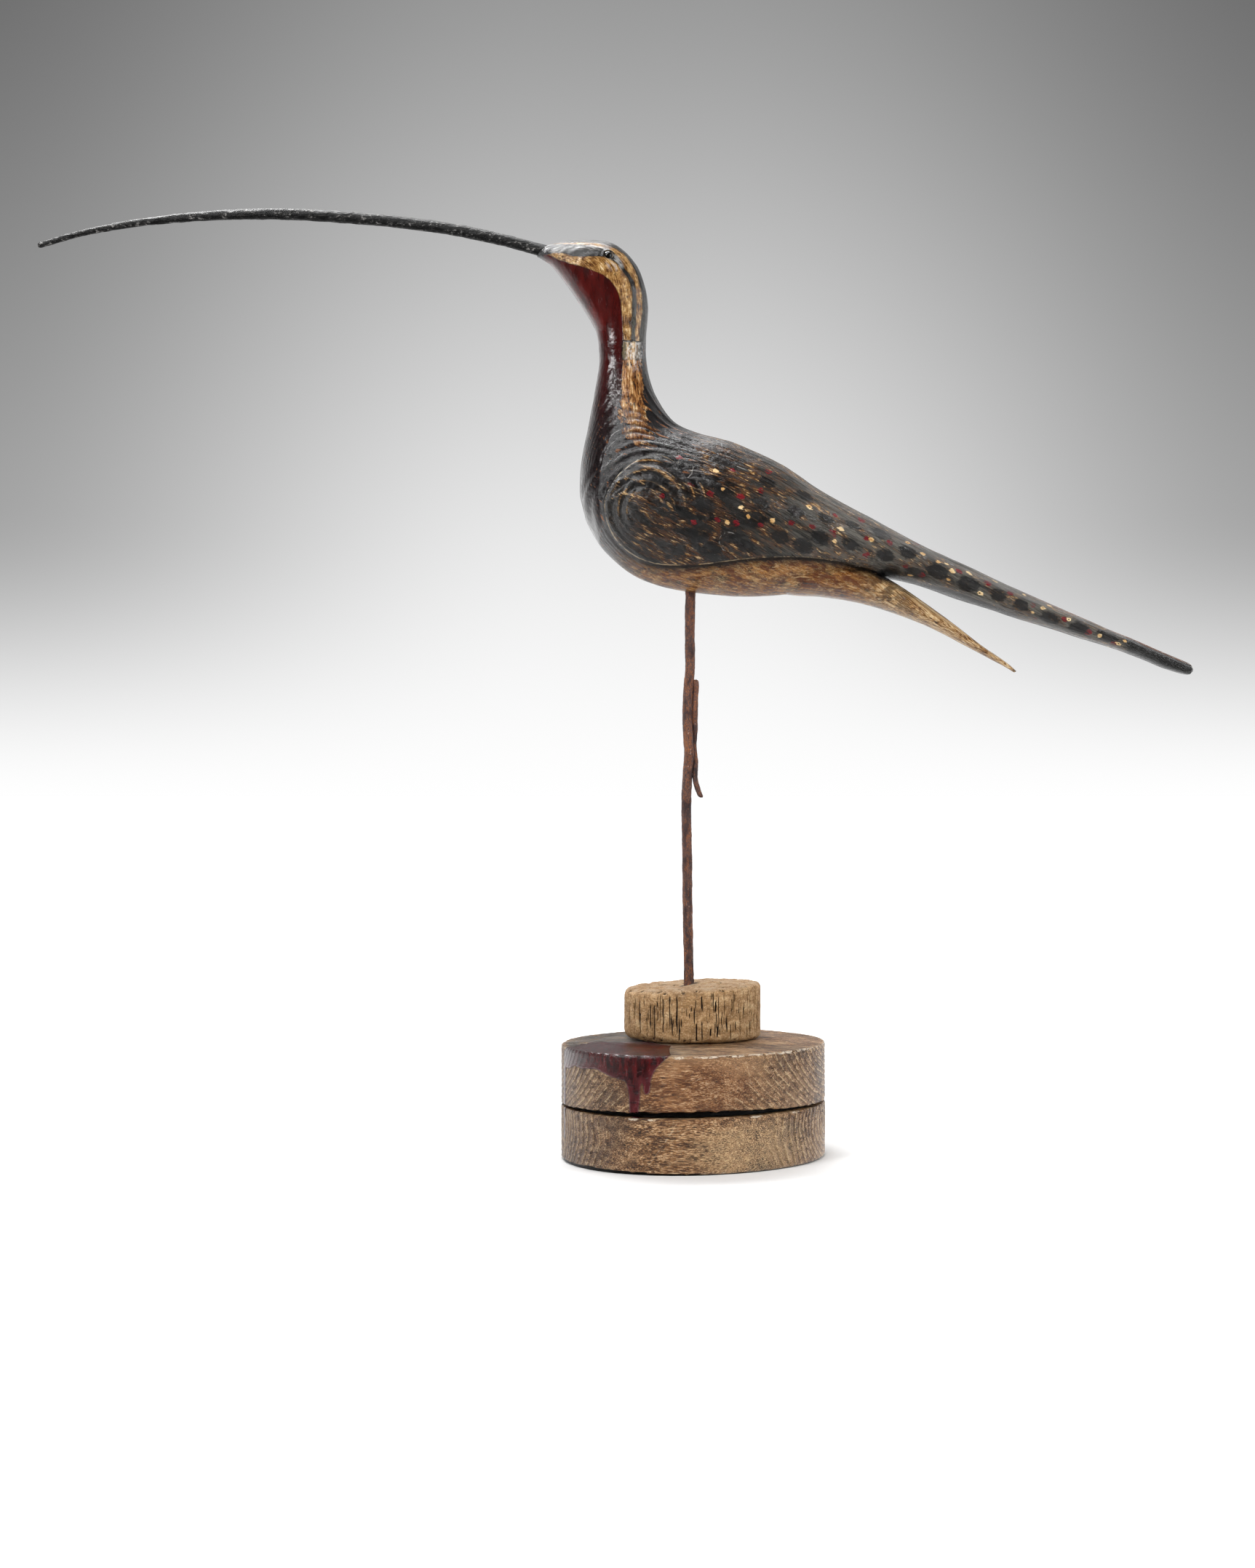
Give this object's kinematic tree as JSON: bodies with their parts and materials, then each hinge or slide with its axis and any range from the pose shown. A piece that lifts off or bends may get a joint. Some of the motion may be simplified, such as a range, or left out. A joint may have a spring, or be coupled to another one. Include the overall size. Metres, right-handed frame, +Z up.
{
  "type": "shorebird decoy",
  "caption": "Carved and painted long-billed shorebird held up by an iron rod on a cork float and stacked wooden discs.",
  "frame": {"origin": "on the underside of the lower disc, straight below the rod's foot", "axes": "+Z up along the rod, -X towards the tip of the bill, +X towards the tail, +Y towards the bird's right side"},
  "size_m": [0.7067, 0.149, 0.5786],
  "materials": {
    "painted_body": "worn satin paint",
    "painted_head": "worn satin paint",
    "painted_bill": "satin black paint",
    "eye_bead": "gloss",
    "rusty_iron": "rusted, matte",
    "cork": "matte, pitted",
    "oak": "worn satin"
  },
  "bodies": {
    "root": {"body": "painted_body", "head": "painted_head", "bill": "painted_bill", "eye_left": "eye_bead", "eye_right": "eye_bead", "leg_rod": "rusty_iron", "leg_spur": "rusty_iron", "cork_float": "cork", "upper_disc": "oak", "lower_disc": "oak"}
  },
  "joints": []
}
